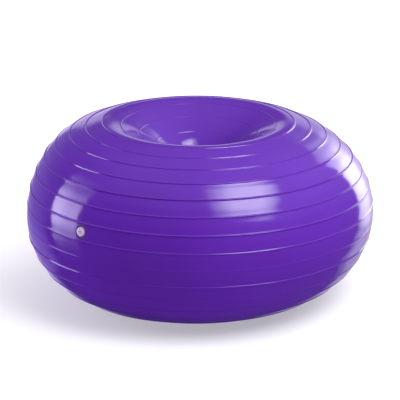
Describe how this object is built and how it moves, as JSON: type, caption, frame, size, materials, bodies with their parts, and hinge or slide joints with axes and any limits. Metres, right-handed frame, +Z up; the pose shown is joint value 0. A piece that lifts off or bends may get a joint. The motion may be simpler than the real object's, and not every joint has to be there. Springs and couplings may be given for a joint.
{
  "type": "donut exercise ball",
  "caption": "Inflatable donut-shaped exercise ball with a deep dimple in its top and bottom, raised grip ribs all round and a push-in air plug.",
  "frame": {"origin": "on the floor, under the middle of the ball", "axes": "+Z up along the ball's axis; -Y is the front, and the air plug is 40 degrees round from the front towards -X"},
  "size_m": [0.5504, 0.5504, 0.2791],
  "materials": {
    "vinyl_skin": "glossy soft PVC",
    "vinyl_seat": "satin soft PVC",
    "plug_plastic": "satin polyethylene, slightly see-through"
  },
  "bodies": {
    "ball": {"ball_shell": "vinyl_skin", "valve_seat": "vinyl_seat"},
    "plug": {"air_plug": "plug_plastic"}
  },
  "joints": [
    {"name": "plug_pull", "type": "slide", "parent": "ball", "child": "plug", "axis": [-0.6303, -0.7512, 0.1958], "range_m": [0, 0.03]}
  ]
}
